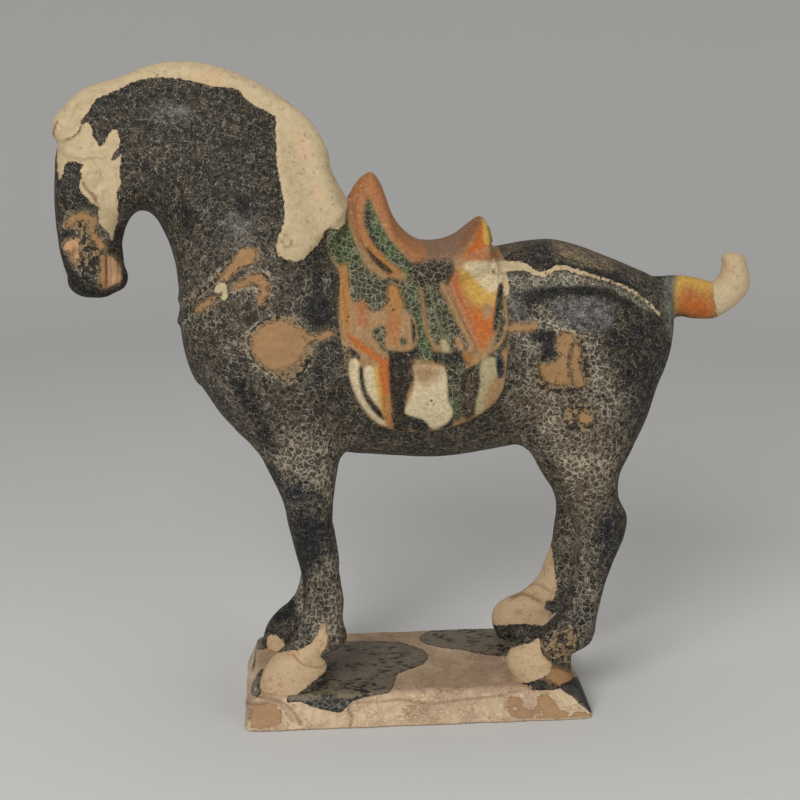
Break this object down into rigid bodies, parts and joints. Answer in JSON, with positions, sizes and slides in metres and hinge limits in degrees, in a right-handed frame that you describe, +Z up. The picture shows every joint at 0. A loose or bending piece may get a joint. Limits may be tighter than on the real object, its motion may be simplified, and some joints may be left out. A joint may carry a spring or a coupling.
{
  "type": "tomb horse figure",
  "caption": "Glazed pottery horse in the tomb-figure style, saddled, head drawn in under an arched neck, on a low rectangular plinth.",
  "frame": {"origin": "middle of the plinth's flat underside", "axes": "the head points along -X and the tail along +X, +Y goes to the horse's right (far) side, +Z is up"},
  "size_m": [0.3148, 0.0878, 0.2988],
  "materials": {
    "horse_glaze": "worn blue-black crackled glaze over buff clay, with cream, amber and green areas",
    "plinth_slip": "matt cream slip on raw clay, with runs of dark glaze"
  },
  "bodies": {
    "root": {"horse": "horse_glaze", "plinth": "plinth_slip"}
  },
  "joints": []
}
